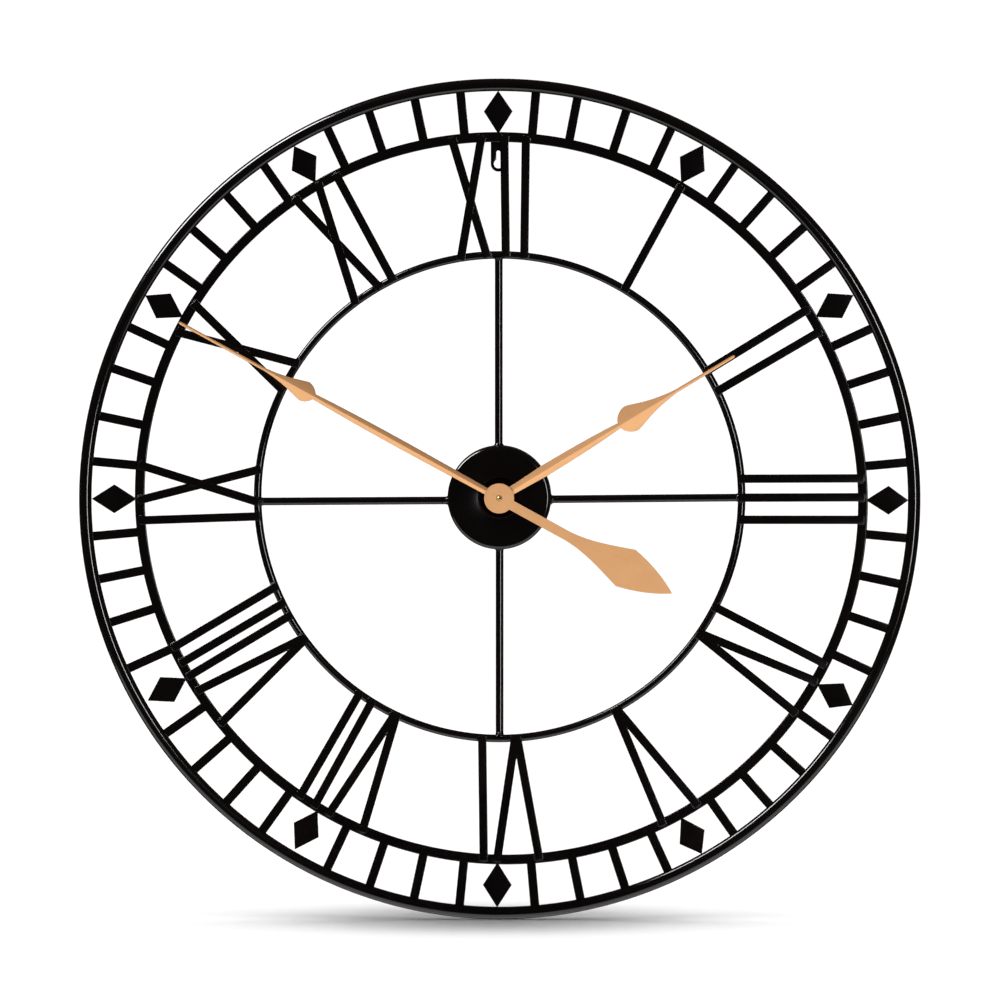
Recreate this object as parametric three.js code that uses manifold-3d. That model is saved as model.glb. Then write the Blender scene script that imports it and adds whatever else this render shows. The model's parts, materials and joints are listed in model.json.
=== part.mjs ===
// Large skeleton wall clock, welded from steel tube, rod and flat bar, with a quartz movement
// in a pressed hub cup and two folded sheet hands. All lengths are in millimetres.
//
// Everything is drawn in dial space: x to the right and y up as the dial is read, z out of the
// wall towards the reader, with z = 0 on the wall and the origin behind the outer ring's centre.
// The dial group at the end stands this up, so that +Z is up and the dial faces -Y.

import * as THREE from 'three';
import { mergeVertices } from 'three/addons/utils/BufferGeometryUtils.js';
import Module from 'manifold-3d';

const wasm = await Module();
wasm.setup();

// ---- Driving dimensions -------------------------------------------------------------------

const OVERALL_DIAMETER = 800;
const WELD_GAP = 0.2; // between two pieces that a weld joins

// Outer ring of round tube, which lies against the wall.
const TUBE_DIAMETER = 12;
const TUBE_CENTRE_RADIUS = (OVERALL_DIAMETER - TUBE_DIAMETER) / 2;
const TUBE_DEPTH = TUBE_DIAMETER / 2;

// Minute ring, minute bars and diamonds of flat bar and sheet, level with the tube's centre.
const FLAT_THICKNESS = 3;
const FLAT_WIDTH = 8;
const MINUTE_BAR_WIDTH = 8.5;
const FLAT_BACK = TUBE_DEPTH - FLAT_THICKNESS / 2;
const FLAT_FRONT = FLAT_BACK + FLAT_THICKNESS;
const MINUTE_RING_OUTER = 348.5;
const MINUTE_RING_INNER = 339;
const RING_SHIFT = [1.6, 0.74]; // the welded ring's centre, right of and above the rim's
const RING_SKEW = 0.0057; // how far it is pulled out of round, shorter from 1:30 to 7:30
const MINUTE_BAR_OUTER = TUBE_CENTRE_RADIUS - TUBE_DIAMETER / 2 - 0.7;
const BAR_INNER_END = 343.5; // inside the minute ring's outer edge all the way round
const DIAMOND_OVERLAP = 2; // how far a diamond's tip runs into the minute ring
const DIAMOND_LENGTH = 43;
const FIRST_MINUTE_BAR = 5.3; // degrees from an hour line
const MINUTE_BAR_STEP = (30 - 2 * FIRST_MINUTE_BAR) / 3;
const DIAMOND_WIDTH = 27.4;
// The bars and diamonds were welded in by hand: all of them a little towards 9 o'clock, some
// bars further off (keyed hour.bar, degrees clockwise).
const WELD_DRIFT = 0.27;
const WELD_TURN = 0.07;
const BAR_SHIFTS = {
  12.1: -0.6, 12.3: 0.3, 8.1: 0.5, 8.2: 0.35, 9.2: 0.5, 9.3: 0.3, 10.1: -0.3, 10.3: 0.25, 11.1: -0.2,
};

// Inner ring and spokes of round rod. They, the cup and the hands sit a little high.
const INNER_RISE = 2.4;
const ROD_DIAMETER = 7.4;
const ROD_DEPTH = FLAT_FRONT - ROD_DIAMETER / 2;
const INNER_RING_RADIUS = 230.1;

// Numeral bars, laid over the fronts of the minute ring and the inner ring.
const NUMERAL_BACK = FLAT_FRONT + WELD_GAP;
const NUMERAL_FRONT = NUMERAL_BACK + FLAT_THICKNESS;
const NUMERAL_OUTER_END = 345.4;
const NUMERAL_INNER_END = 228.2;

// Hub cup: pressed sheet, open towards the wall.
const CUP_RADIUS = 49.2;
const CUP_WALL = 1.2;
const CUP_RIM = 0.5;
const CUP_FACE = 26;
const CUP_EDGE_RADIUS = 4.5;
const CUP_HOLE_RADIUS = 4.3;

// Hanger plate, welded behind the minute ring at 12.
const HANGER_THICKNESS = 1.5;
const HANGER_HALF_WIDTH = 7.2;
const HANGER_OFFSET = -1.2;
const HANGER_TOP = 347;
const HANGER_BOTTOM = 311.6;
const KEYHOLE_CENTRE = 319;
const KEYHOLE_RADIUS = 4.3;
const KEYHOLE_SLOT_HALF_WIDTH = 1.9;
const KEYHOLE_SLOT_TOP = 331.6;

// Quartz movement, and the depths of its layers from the wall.
const CASE_SIZE = 56;
const CASE_WALL = 1.5;
const CASE_CORNER = 3;
const COVER_BACK = 6.5;
const COVER_FRONT = 8.5;
const CASE_BACK = COVER_FRONT + 0.1;
const CASE_FRONT = 23.5;
const BUSHING_RADIUS = 4;
const BUSHING_FRONT = 30.5;
const BUSHING_BORE = 2.75;
const BATTERY_RADIUS = 7.1;
const BATTERY_LENGTH = 49.4;
const BATTERY_HEIGHT = -18.6;
const BATTERY_DEPTH = 14.8;
const PARTITION_HEIGHT = -10.1;

// Arbor, hour tube and hands.
const ARBOR_RADIUS = 1.5;
const ARBOR_TIP = 39;
const HOUR_TUBE_RADIUS = 2.55;
const HOUR_TUBE_BORE = 1.75;
const HOUR_TUBE_FRONT = 33.4;
const HOUR_HAND_BACK = 31.2;
const MINUTE_HAND_BACK = 36;
const MINUTE_BOSS_RADIUS = 14.4;
const HOUR_BOSS_RADIUS = 11;
const HAND_THICKNESS = 1;
const HAND_NUT_RADIUS = 2.8;
const HAND_NUT_HEIGHT = 1.4;
const HAND_FOLD = 12; // degrees that each side of a blade leans back from its crease
const HOUR_HAND_ANGLE = 58.8; // degrees clockwise from 12
const MINUTE_HAND_ANGLE = 298.8;

// Gear train: tooth counts, and the layers that they turn in.
const MOTION_MODULE = 0.3;
const HOUR_MODULE = 0.28;
const STEP_MODULE = 0.229;
const CANNON_TEETH = 14;
const MINUTE_WHEEL_TEETH = 42;
const MINUTE_PINION_TEETH = 12;
const HOUR_WHEEL_TEETH = 48;
const CENTRE_WHEEL_TEETH = 45;
const THIRD_PINION_TEETH = 6;
const THIRD_WHEEL_TEETH = 48;
const STEP_PINION_TEETH = 6;
const MINUTE_WHEEL_DISTANCE = (MOTION_MODULE * (CANNON_TEETH + MINUTE_WHEEL_TEETH)) / 2;
const THIRD_WHEEL_DISTANCE = (MOTION_MODULE * (CENTRE_WHEEL_TEETH + THIRD_PINION_TEETH)) / 2;
const STEP_WHEEL_DISTANCE = (STEP_MODULE * (THIRD_WHEEL_TEETH + STEP_PINION_TEETH)) / 2;
const STEP_WHEEL_RADIUS = 4.4;
const ROTOR_RADIUS = 2.4;
const STEP_GAP = 0.75; // between the step wheel's rim and the rotor's arbor

// Back and front depth of each toothed layer and arbor.
const CANNON_LAYER = [12.6, 14.8];
const CENTRE_LAYER = [11, 12];
const MINUTE_WHEEL_LAYER = [13, 14.3];
const MINUTE_PINION_LAYER = [14, 17.4];
const MINUTE_ARBOR_LAYER = [5, 21];
const HOUR_WHEEL_LAYER = [15.6, 16.9];
const THIRD_PINION_LAYER = [10, 12.2];
const THIRD_WHEEL_LAYER = [9.3, 10.2];
const THIRD_ARBOR_LAYER = [8.9, 21];
const STEP_PINION_LAYER = [9.2, 13.2];
const STEP_WHEEL_LAYER = [12.9, 13.6];
const ROTOR_MAGNET_LAYER = [14.8, 18];
const ROTOR_ARBOR_LAYER = [10, 21];

// Coil across the top of the case, and the stator plate that its core belongs to.
const COIL_HEIGHT = 22;
const COIL_DEPTH = 16;
const COIL_RADIUS = 3.7;
const COIL_LENGTH = 20;
const STATOR_THICKNESS = 1;
const STATOR_CORE_WIDTH = 3;
const STATOR_RIGHT_END = 17;
const STATOR_SIDE = 5; // from the rotor's centre to the plate's sides
const STATOR_FOOT = 4.2; // from the rotor's centre down to the plate's end

// Circuit board, with the drive chip's blob and the quartz crystal's can.
const BOARD_WIDTH = 15;
const BOARD_HEIGHT = 20;
const BOARD_LAYER = [10, 11];
const BOARD_PLACE = [18, 4];
const BLOB_RADIUS = 3;
const BLOB_LAYER = [10.5, 12.2];
const CRYSTAL_RADIUS = 1.5;
const CRYSTAL_LENGTH = 8;

// Setting knob behind the cover.
const KNOB_NOTCHES = 12;
const KNOB_RADIUS = 7;
const KNOB_NOTCH_RADIUS = 6.4;
const KNOB_LAYER = [2.4, 5.4];
const KNOB_NECK_RADIUS = 1.7;
const KNOB_HOLE_RADIUS = 1.9;

// Washers and nut that clamp the movement in the cup.
const NUT_RADIUS = 6.9;
const NUT_HEIGHT = 2.2;
const NUT_BORE = 4.2;
const BRASS_WASHER_RADIUS = 8;
const BRASS_WASHER_THICKNESS = 0.6;
const RUBBER_WASHER_RADIUS = 11;

// Each numeral as its bars. A bar is [offset at the minute ring, offset at the inner ring],
// clockwise from the hour line. Two bars in one group cross or meet, and are welded together.
const NUMERALS = {
  1: { bar: [[0, 3]] },
  2: { bar_a: [[-10.5, -7.5]], bar_b: [[13.5, 14]] },
  3: { bar_a: [[-20.5, -20]], bar_b: [[-2.5, -2]], bar_c: [[19, 19]] },
  4: { bar: [[-19.5, -14]], v: [[-1, 15], [35, 16]] },
  5: { v: [[-18, 3.5], [20, 4.5]] },
  6: { v: [[-38, -16.5], [2.5, -15]], bar: [[15, 16.5]] },
  7: { v: [[-45, -17.5], [-9, -16]], bar_a: [[6.5, 9]], bar_b: [[23, 23]] },
  8: { v: [[-52.5, -22.5], [-14, -21]], bar_a: [[2, 4]], bar_b: [[16.5, 17.5]], bar_c: [[33, 34.5]] },
  9: { bar: [[-20, -16]], x: [[-1, 29], [33, -3]] },
  10: { x: [[-15.5, 16.5], [16.5, -13.5]] },
  11: { x: [[-25.5, 2.5], [1, -25.5]], bar: [[20, 16.5]] },
  12: { x: [[-45.5, -11.5], [-17, -37]], bar_a: [[4.5, 6]], bar_b: [[25, 23.5]] },
};

// Each spoke's clock hour, and its clockwise offset at the inner ring and at the cup.
const SPOKES = [
  [12, -0.8, -0.8],
  [3, -1.9, -0.2],
  [6, 0, 0],
  [9, -2.1, -1],
];

// ---- Materials ----------------------------------------------------------------------------

const material = (color, roughness, metalness) =>
  new THREE.MeshStandardMaterial({ color, roughness, metalness });

const blackPaint = () => material(0x110d0d, 0.25, 0.1);
const roseGold = () => material(0xe0a574, 0.35, 0.9);
const brass = () => material(0xc9a45c, 0.3, 1);
const blackPlastic = () => material(0x1b1b1c, 0.5, 0);
const whitePlastic = () => material(0xe8e6df, 0.5, 0);
const blackRubber = () => material(0x151515, 0.85, 0);
const steel = () => material(0xa9abad, 0.35, 1);
const copperWire = () => material(0xb3592b, 0.4, 0.9);
const boardGreen = () => material(0x24583a, 0.6, 0);
const batteryWrap = () => material(0x2c2f33, 0.4, 0.3);

// ---- Solids -------------------------------------------------------------------------------

function solidFrom(geometry) {
  const bare = geometry.clone();
  bare.deleteAttribute('normal');
  bare.deleteAttribute('uv');
  const merged = mergeVertices(bare, 1e-5);
  return new wasm.Manifold(
    new wasm.Mesh({
      numProp: 3,
      vertProperties: new Float32Array(merged.attributes.position.array),
      triVerts: new Uint32Array(merged.index.array),
    }),
  );
}

function geometryFrom(solid) {
  const mesh = solid.getMesh();
  const geometry = new THREE.BufferGeometry();
  geometry.setAttribute('position', new THREE.BufferAttribute(mesh.vertProperties, 3));
  geometry.setIndex(new THREE.BufferAttribute(mesh.triVerts, 1));
  geometry.computeVertexNormals();
  return geometry;
}

function join(geometries) {
  const [first, ...others] = geometries.map(solidFrom);
  return geometryFrom(others.reduce((sum, solid) => sum.add(solid), first));
}

function cut(geometry, tools) {
  const removed = tools.map(solidFrom);
  return geometryFrom(removed.reduce((rest, tool) => rest.subtract(tool), solidFrom(geometry)));
}

// A flat shape as a plate between two depths.
function plate(shape, back, front, curveSegments = 12) {
  const settings = { depth: front - back, bevelEnabled: false, curveSegments };
  return new THREE.ExtrudeGeometry(shape, settings).translate(0, 0, back);
}

function block(width, height, back, front) {
  return new THREE.BoxGeometry(width, height, front - back).translate(0, 0, (back + front) / 2);
}

function disc(radius, back, front, segments = 24) {
  const cylinder = new THREE.CylinderGeometry(radius, radius, front - back, segments);
  return cylinder.rotateX(Math.PI / 2).translate(0, 0, (back + front) / 2);
}

function washer(bore, radius, back, front, segments = 16) {
  const outline = new THREE.Shape().absarc(0, 0, radius, 0, 2 * Math.PI);
  outline.holes.push(new THREE.Path().absarc(0, 0, bore, 0, 2 * Math.PI, true));
  return plate(outline, back, front, segments);
}

// A profile of [radius, depth] points, turned round the z axis.
function turned(profile, segments = 24) {
  const points = profile.map(([radius, depth]) => new THREE.Vector2(radius, depth));
  return new THREE.LatheGeometry(points, segments).rotateX(Math.PI / 2);
}

// The points of a quarter circle in a turned profile, from one angle to another.
function quarterArc(centreRadius, centreDepth, radius, from, to, steps) {
  const points = [];
  for (let i = 0; i <= steps; i += 1) {
    const angle = THREE.MathUtils.degToRad(from + ((to - from) * i) / steps);
    points.push([centreRadius + radius * Math.cos(angle), centreDepth + radius * Math.sin(angle)]);
  }
  return points;
}

function roundedSquare(size, corner) {
  const half = size / 2;
  const inner = half - corner;
  const shape = new THREE.Shape();
  shape.absarc(inner, inner, corner, 0, Math.PI / 2);
  shape.absarc(-inner, inner, corner, Math.PI / 2, Math.PI);
  shape.absarc(-inner, -inner, corner, Math.PI, 1.5 * Math.PI);
  shape.absarc(inner, -inner, corner, 1.5 * Math.PI, 2 * Math.PI);
  return shape;
}

// ---- Frame --------------------------------------------------------------------------------

const clockAngle = (degrees) => THREE.MathUtils.degToRad(90 - degrees);

// The point on a ring that lies a given distance clockwise of an hour line.
function pointOnRing(hour, offset, radius, rise) {
  const angle = clockAngle(30 * hour);
  const outward = new THREE.Vector2(Math.cos(angle), Math.sin(angle));
  const clockwise = new THREE.Vector2(outward.y, -outward.x);
  const across = offset - rise * clockwise.y;
  const reach = rise * outward.y + Math.sqrt(radius ** 2 - across ** 2);
  return outward.multiplyScalar(reach).addScaledVector(clockwise, offset);
}

// A flat bar between two points of the dial.
function barBetween(from, to, back, front) {
  const along = to.clone().sub(from);
  const bar = new THREE.BoxGeometry(along.length(), FLAT_WIDTH, front - back);
  bar.rotateZ(along.angle());
  return bar.translate((from.x + to.x) / 2, (from.y + to.y) / 2, (back + front) / 2);
}

// How far out the minute ring lies from where a true ring would, at an angle from the x axis.
function ringOut(angle) {
  const [x, y] = [Math.cos(angle), Math.sin(angle)];
  return RING_SHIFT[0] * x + RING_SHIFT[1] * y - 2 * RING_SKEW * MINUTE_RING_OUTER * x * y;
}

function numeralBar(hour, [outerOffset, innerOffset]) {
  const outerEnd = NUMERAL_OUTER_END + ringOut(clockAngle(30 * hour) - outerOffset / NUMERAL_OUTER_END);
  const outer = pointOnRing(hour, outerOffset, outerEnd, 0);
  const inner = pointOnRing(hour, innerOffset, NUMERAL_INNER_END, INNER_RISE);
  return barBetween(inner, outer, NUMERAL_BACK, NUMERAL_FRONT);
}

function outerRingTube() {
  const torus = new THREE.TorusGeometry(TUBE_CENTRE_RADIUS, TUBE_DIAMETER / 2, 12, 96);
  return torus.translate(0, 0, TUBE_DEPTH);
}

// Where a piece meant for a clockwise angle was welded, in degrees.
function weldedAngle(degrees) {
  return degrees + WELD_TURN - WELD_DRIFT * Math.cos(THREE.MathUtils.degToRad(degrees));
}

function diamond(hour) {
  const angle = clockAngle(weldedAngle(30 * hour));
  const low = MINUTE_RING_OUTER + ringOut(angle) - DIAMOND_OVERLAP;
  const middle = low + DIAMOND_LENGTH / 2;
  const shape = new THREE.Shape();
  shape.moveTo(low, 0);
  shape.lineTo(middle, -DIAMOND_WIDTH / 2);
  shape.lineTo(Math.min(low + DIAMOND_LENGTH, MINUTE_BAR_OUTER), 0);
  shape.lineTo(middle, DIAMOND_WIDTH / 2);
  return plate(shape, FLAT_BACK, FLAT_FRONT).rotateZ(angle);
}

function minuteBar(hour, bar) {
  const meant = 30 * hour + FIRST_MINUTE_BAR + bar * MINUTE_BAR_STEP;
  const angle = clockAngle(weldedAngle(meant) + (BAR_SHIFTS[`${hour}.${bar}`] ?? 0));
  const length = MINUTE_BAR_OUTER - BAR_INNER_END;
  const piece = block(length, MINUTE_BAR_WIDTH, FLAT_BACK, FLAT_FRONT);
  return piece.translate(BAR_INNER_END + length / 2, 0, 0).rotateZ(angle);
}

// The flat minute ring with the bars and diamonds that are welded round it.
function minuteRing() {
  const ring = washer(MINUTE_RING_INNER, MINUTE_RING_OUTER, FLAT_BACK, FLAT_FRONT, 72);
  const [right, up] = RING_SHIFT;
  const skew = new THREE.Matrix4();
  skew.set(1, -RING_SKEW, 0, right, -RING_SKEW, 1, 0, up, 0, 0, 1, 0, 0, 0, 0, 1);
  const pieces = [ring.applyMatrix4(skew)];
  for (let hour = 1; hour <= 12; hour += 1) {
    pieces.push(diamond(hour));
    for (let bar = 0; bar < 4; bar += 1) {
      pieces.push(minuteBar(hour, bar));
    }
  }
  return join(pieces);
}

function innerRing() {
  const torus = new THREE.TorusGeometry(INNER_RING_RADIUS, ROD_DIAMETER / 2, 10, 80);
  return torus.translate(0, INNER_RISE, ROD_DEPTH);
}

// A round rod butted between the cup and the inner ring.
function spoke(hour, ringOffset, cupOffset) {
  const ringInside = INNER_RING_RADIUS - ROD_DIAMETER / 2 - WELD_GAP;
  const outer = pointOnRing(hour, ringOffset, ringInside, INNER_RISE);
  const inner = pointOnRing(hour, cupOffset, CUP_RADIUS + WELD_GAP, INNER_RISE);
  const along = outer.clone().sub(inner);
  const rod = new THREE.CylinderGeometry(ROD_DIAMETER / 2, ROD_DIAMETER / 2, along.length(), 12);
  rod.rotateZ(along.angle() - Math.PI / 2);
  return rod.translate((inner.x + outer.x) / 2, (inner.y + outer.y) / 2, ROD_DEPTH);
}

function hubCup() {
  const edge = CUP_RADIUS - CUP_EDGE_RADIUS;
  const shoulder = CUP_FACE - CUP_EDGE_RADIUS;
  const inside = CUP_EDGE_RADIUS - CUP_WALL;
  const profile = [
    [CUP_HOLE_RADIUS, CUP_FACE - CUP_WALL],
    ...quarterArc(edge, shoulder, inside, 90, 0, 4),
    [CUP_RADIUS - CUP_WALL, CUP_RIM],
    [CUP_RADIUS, CUP_RIM],
    ...quarterArc(edge, shoulder, CUP_EDGE_RADIUS, 0, 90, 4),
    [CUP_HOLE_RADIUS, CUP_FACE],
    [CUP_HOLE_RADIUS, CUP_FACE - CUP_WALL],
  ];
  return turned(profile, 48);
}

// A plate with a round foot, and a keyhole whose slot points up.
function hangerPlate() {
  const foot = HANGER_BOTTOM + HANGER_HALF_WIDTH;
  const shape = new THREE.Shape();
  shape.moveTo(HANGER_HALF_WIDTH, HANGER_TOP);
  shape.lineTo(-HANGER_HALF_WIDTH, HANGER_TOP);
  shape.absarc(0, foot, HANGER_HALF_WIDTH, Math.PI, 2 * Math.PI);
  const slotAngle = Math.acos(KEYHOLE_SLOT_HALF_WIDTH / KEYHOLE_RADIUS);
  const slotEnd = KEYHOLE_SLOT_TOP - KEYHOLE_SLOT_HALF_WIDTH;
  const keyhole = new THREE.Path();
  keyhole.absarc(0, slotEnd, KEYHOLE_SLOT_HALF_WIDTH, 0, Math.PI);
  keyhole.absarc(0, KEYHOLE_CENTRE, KEYHOLE_RADIUS, Math.PI - slotAngle, 2 * Math.PI + slotAngle);
  keyhole.closePath();
  shape.holes.push(keyhole);
  const front = FLAT_BACK - WELD_GAP;
  return plate(shape, front - HANGER_THICKNESS, front, 8).translate(HANGER_OFFSET, 0, 0);
}

// ---- Movement case and what is fixed in it -------------------------------------------------

// Front shell with its threaded bushing, and a rib between the gears and the battery.
function movementCase() {
  const shell = plate(roundedSquare(CASE_SIZE, CASE_CORNER), CASE_BACK, CASE_FRONT, 3);
  const bay = CASE_SIZE - 2 * CASE_WALL;
  const cavity = block(bay, bay, CASE_BACK - 1, CASE_FRONT - CASE_WALL);
  const rib = block(bay + 1, 1, CASE_BACK, CASE_FRONT - 1).translate(0, PARTITION_HEIGHT, 0);
  const bushing = disc(BUSHING_RADIUS, CASE_FRONT - 1, BUSHING_FRONT);
  const bore = disc(BUSHING_BORE, CASE_FRONT - CASE_WALL - 1, BUSHING_FRONT + 1);
  return cut(join([cut(shell, [cavity]), rib, bushing]), [bore]);
}

// Back cover, with the battery's opening and the hole for the setting knob.
function movementCover() {
  const opening = block(BATTERY_LENGTH + 2.6, 2 * BATTERY_RADIUS + 1, COVER_BACK - 1, COVER_FRONT + 1);
  opening.translate(0, BATTERY_HEIGHT, 0);
  const knobHole = disc(KNOB_HOLE_RADIUS, COVER_BACK - 1, COVER_FRONT + 1, 16);
  knobHole.translate(0, MINUTE_WHEEL_DISTANCE, 0);
  const cover = plate(roundedSquare(CASE_SIZE, CASE_CORNER), COVER_BACK, COVER_FRONT, 3);
  return cut(cover, [opening, knobHole]);
}

// A dry cell lying across the case, with its positive cap to the right.
function battery() {
  const half = BATTERY_LENGTH / 2;
  const cap = half - 1.4;
  const profile = [
    [0, -half],
    [BATTERY_RADIUS - 0.5, -half],
    [BATTERY_RADIUS, -half + 0.5],
    [BATTERY_RADIUS, cap - 0.5],
    [BATTERY_RADIUS - 0.5, cap],
    [2.7, cap],
    [2.7, half],
    [0, half],
  ];
  return turned(profile, 20).rotateY(Math.PI / 2).translate(0, BATTERY_HEIGHT, BATTERY_DEPTH);
}

// A bent strip of spring steel at one end of the battery.
function batteryContact(side) {
  const wall = side * (CASE_SIZE / 2 - CASE_WALL - 0.5);
  const strip = new THREE.BoxGeometry(0.5, 9, 9).translate(wall, BATTERY_HEIGHT, BATTERY_DEPTH);
  const dimple = new THREE.CylinderGeometry(1.5, 2, 0.8, 12).rotateZ((side * Math.PI) / 2);
  dimple.translate(wall - side * 0.5, BATTERY_HEIGHT, BATTERY_DEPTH);
  return join([strip, dimple]);
}

const thirdWheelPlace = new THREE.Vector2(-THIRD_WHEEL_DISTANCE, 0);
const stepWheelPlace = new THREE.Vector2(-1, 1)
  .setLength(STEP_WHEEL_DISTANCE)
  .add(thirdWheelPlace);
const rotorPlace = new THREE.Vector2(-1, 1).setLength(STEP_WHEEL_RADIUS + STEP_GAP).add(stepWheelPlace);

// Soft-iron plate that runs from the coil's core round the rotor.
function stator() {
  const shape = new THREE.Shape();
  const left = rotorPlace.x - STATOR_SIDE;
  const right = rotorPlace.x + STATOR_SIDE;
  const foot = rotorPlace.y - STATOR_FOOT;
  const coreTop = COIL_HEIGHT + STATOR_CORE_WIDTH / 2;
  const coreFoot = COIL_HEIGHT - STATOR_CORE_WIDTH / 2;
  shape.moveTo(left, foot);
  shape.lineTo(right, foot);
  shape.lineTo(right, coreFoot);
  shape.lineTo(STATOR_RIGHT_END, coreFoot);
  shape.lineTo(STATOR_RIGHT_END, coreTop);
  shape.lineTo(left, coreTop);
  const eye = new THREE.Path().absarc(rotorPlace.x, rotorPlace.y, ROTOR_RADIUS + 0.4, 0, 2 * Math.PI);
  shape.holes.push(eye);
  const back = COIL_DEPTH - STATOR_THICKNESS / 2;
  return plate(shape, back, back + STATOR_THICKNESS, 8);
}

// Copper winding round the stator's core.
function coil() {
  const winding = new THREE.CylinderGeometry(COIL_RADIUS, COIL_RADIUS, COIL_LENGTH, 16);
  winding.rotateZ(Math.PI / 2);
  const room = 0.4;
  const core = new THREE.BoxGeometry(
    COIL_LENGTH + 2,
    STATOR_CORE_WIDTH + room,
    STATOR_THICKNESS + room,
  );
  const middle = STATOR_RIGHT_END - COIL_LENGTH / 2 - 4;
  return cut(winding, [core]).translate(middle, COIL_HEIGHT, COIL_DEPTH);
}

// Magnet rotor on its arbor, with the pinion that steps the train.
function rotor() {
  const magnet = disc(ROTOR_RADIUS, ...ROTOR_MAGNET_LAYER, 16);
  const arbor = disc(0.45, ...ROTOR_ARBOR_LAYER, 8);
  return join([magnet, arbor]).translate(rotorPlace.x, rotorPlace.y, 0);
}

// Board with the drive chip under its blob and the quartz crystal's can.
function circuitBoard() {
  const board = block(BOARD_WIDTH, BOARD_HEIGHT, ...BOARD_LAYER);
  const blob = disc(BLOB_RADIUS, ...BLOB_LAYER, 16).translate(-1, 4, 0);
  const can = new THREE.CylinderGeometry(CRYSTAL_RADIUS, CRYSTAL_RADIUS, CRYSTAL_LENGTH, 12);
  can.translate(2, -4.5, BOARD_LAYER[1] + 0.75 * CRYSTAL_RADIUS);
  return join([board, blob, can]).translate(...BOARD_PLACE, 0);
}

// ---- Hub fastening --------------------------------------------------------------------------

function rubberWasher() {
  return washer(CUP_HOLE_RADIUS, RUBBER_WASHER_RADIUS, CASE_FRONT + 0.1, CUP_FACE - CUP_WALL - 0.1);
}

function brassWasher() {
  const back = CUP_FACE + 0.1;
  return washer(CUP_HOLE_RADIUS, BRASS_WASHER_RADIUS, back, back + BRASS_WASHER_THICKNESS);
}

function hexNut() {
  const back = CUP_FACE + 0.2 + BRASS_WASHER_THICKNESS;
  const hexagon = new THREE.CylinderGeometry(NUT_RADIUS, NUT_RADIUS, NUT_HEIGHT, 6);
  hexagon.rotateX(Math.PI / 2);
  const bore = disc(NUT_BORE, -NUT_HEIGHT, NUT_HEIGHT);
  return cut(hexagon, [bore]).translate(0, 0, back + NUT_HEIGHT / 2);
}

// ---- Gear train -----------------------------------------------------------------------------

// A toothed disc with pointed gaps. One tooth points along the phase, in degrees.
function gear(teeth, module, layer, phase) {
  const pitch = (teeth * module) / 2;
  const tip = pitch + 0.6 * module;
  const root = pitch - 1.1 * module;
  const halfStep = Math.PI / teeth;
  const shape = new THREE.Shape();
  for (let tooth = 0; tooth < teeth; tooth += 1) {
    const middle = THREE.MathUtils.degToRad(phase) + 2 * halfStep * tooth;
    const near = middle - 0.14 * halfStep;
    const far = middle + 0.14 * halfStep;
    const gap = middle + halfStep;
    const start = tooth === 0 ? 'moveTo' : 'lineTo';
    shape[start](tip * Math.cos(near), tip * Math.sin(near));
    shape.lineTo(tip * Math.cos(far), tip * Math.sin(far));
    shape.lineTo(root * Math.cos(gap), root * Math.sin(gap));
  }
  return plate(shape, ...layer);
}

// Minute arbor, with the cannon pinion that drives the minute wheel. Its tip shows in the hand.
function minuteArbor() {
  const profile = [
    [0, 9],
    [ARBOR_RADIUS, 9],
    [ARBOR_RADIUS, ARBOR_TIP - 0.5],
    [ARBOR_RADIUS - 0.5, ARBOR_TIP],
    [0, ARBOR_TIP],
  ];
  const pinion = gear(CANNON_TEETH, MOTION_MODULE, CANNON_LAYER, 90);
  return join([turned(profile, 16), pinion]);
}

// Centre wheel, held on the arbor by friction so that the hands can be set.
function centreWheel() {
  const wheel = gear(CENTRE_WHEEL_TEETH, MOTION_MODULE, CENTRE_LAYER, 180);
  const [back, front] = CENTRE_LAYER;
  return cut(wheel, [disc(ARBOR_RADIUS + 0.1, back - 1, front + 1, 16)]);
}

// Minute wheel: its big wheel meets the cannon pinion, its pinion turns the hour wheel.
function minuteWheel() {
  const phase = -90 + 180 / MINUTE_WHEEL_TEETH;
  const wheel = gear(MINUTE_WHEEL_TEETH, MOTION_MODULE, MINUTE_WHEEL_LAYER, phase);
  const pinion = gear(MINUTE_PINION_TEETH, HOUR_MODULE, MINUTE_PINION_LAYER, -90);
  const arbor = disc(0.9, ...MINUTE_ARBOR_LAYER, 12);
  return join([wheel, pinion, arbor]).translate(0, MINUTE_WHEEL_DISTANCE, 0);
}

// Hour wheel and the tube that carries the hour hand through the bushing.
function hourWheel() {
  const phase = 90 + 180 / HOUR_WHEEL_TEETH;
  const wheel = gear(HOUR_WHEEL_TEETH, HOUR_MODULE, HOUR_WHEEL_LAYER, phase);
  const [back] = HOUR_WHEEL_LAYER;
  const tube = disc(HOUR_TUBE_RADIUS, back, HOUR_TUBE_FRONT, 20);
  const bore = disc(HOUR_TUBE_BORE, back - 1, HOUR_TUBE_FRONT + 1, 20);
  return cut(join([wheel, tube]), [bore]);
}

// Third wheel, between the centre wheel and the step wheel.
function thirdWheel() {
  const phase = 180 / THIRD_PINION_TEETH;
  const pinion = gear(THIRD_PINION_TEETH, MOTION_MODULE, THIRD_PINION_LAYER, phase);
  const wheel = gear(THIRD_WHEEL_TEETH, STEP_MODULE, THIRD_WHEEL_LAYER, 135);
  const arbor = disc(0.5, ...THIRD_ARBOR_LAYER, 8);
  return join([pinion, wheel, arbor]).translate(thirdWheelPlace.x, thirdWheelPlace.y, 0);
}

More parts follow.
